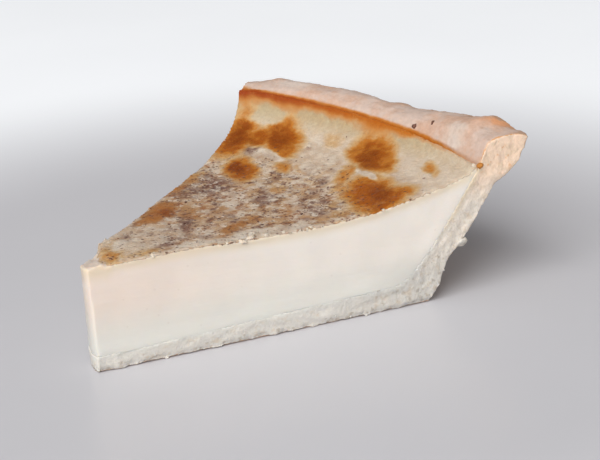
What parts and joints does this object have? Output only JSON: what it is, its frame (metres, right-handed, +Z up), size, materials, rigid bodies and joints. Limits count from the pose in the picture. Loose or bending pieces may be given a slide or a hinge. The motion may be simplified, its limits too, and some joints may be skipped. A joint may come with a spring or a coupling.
{
  "type": "custard pie slice",
  "caption": "Wedge-shaped slice of baked custard pie: set custard with a browned top, in a pastry crust with a leaning wall and an uneven rim.",
  "frame": {"origin": "under the middle of the slice's box, on the plane of its flat base", "axes": "+X from the tip to the crust, +Y from the front cut to the back cut, +Z up"},
  "size_m": [0.1154, 0.0936, 0.0417],
  "materials": {
    "pastry": "dry, crumbly baked shortcrust, matt",
    "custard": "smooth set egg custard, soft satin, browned in patches on top"
  },
  "bodies": {
    "root": {"crust": "pastry", "custard": "custard"}
  },
  "joints": []
}
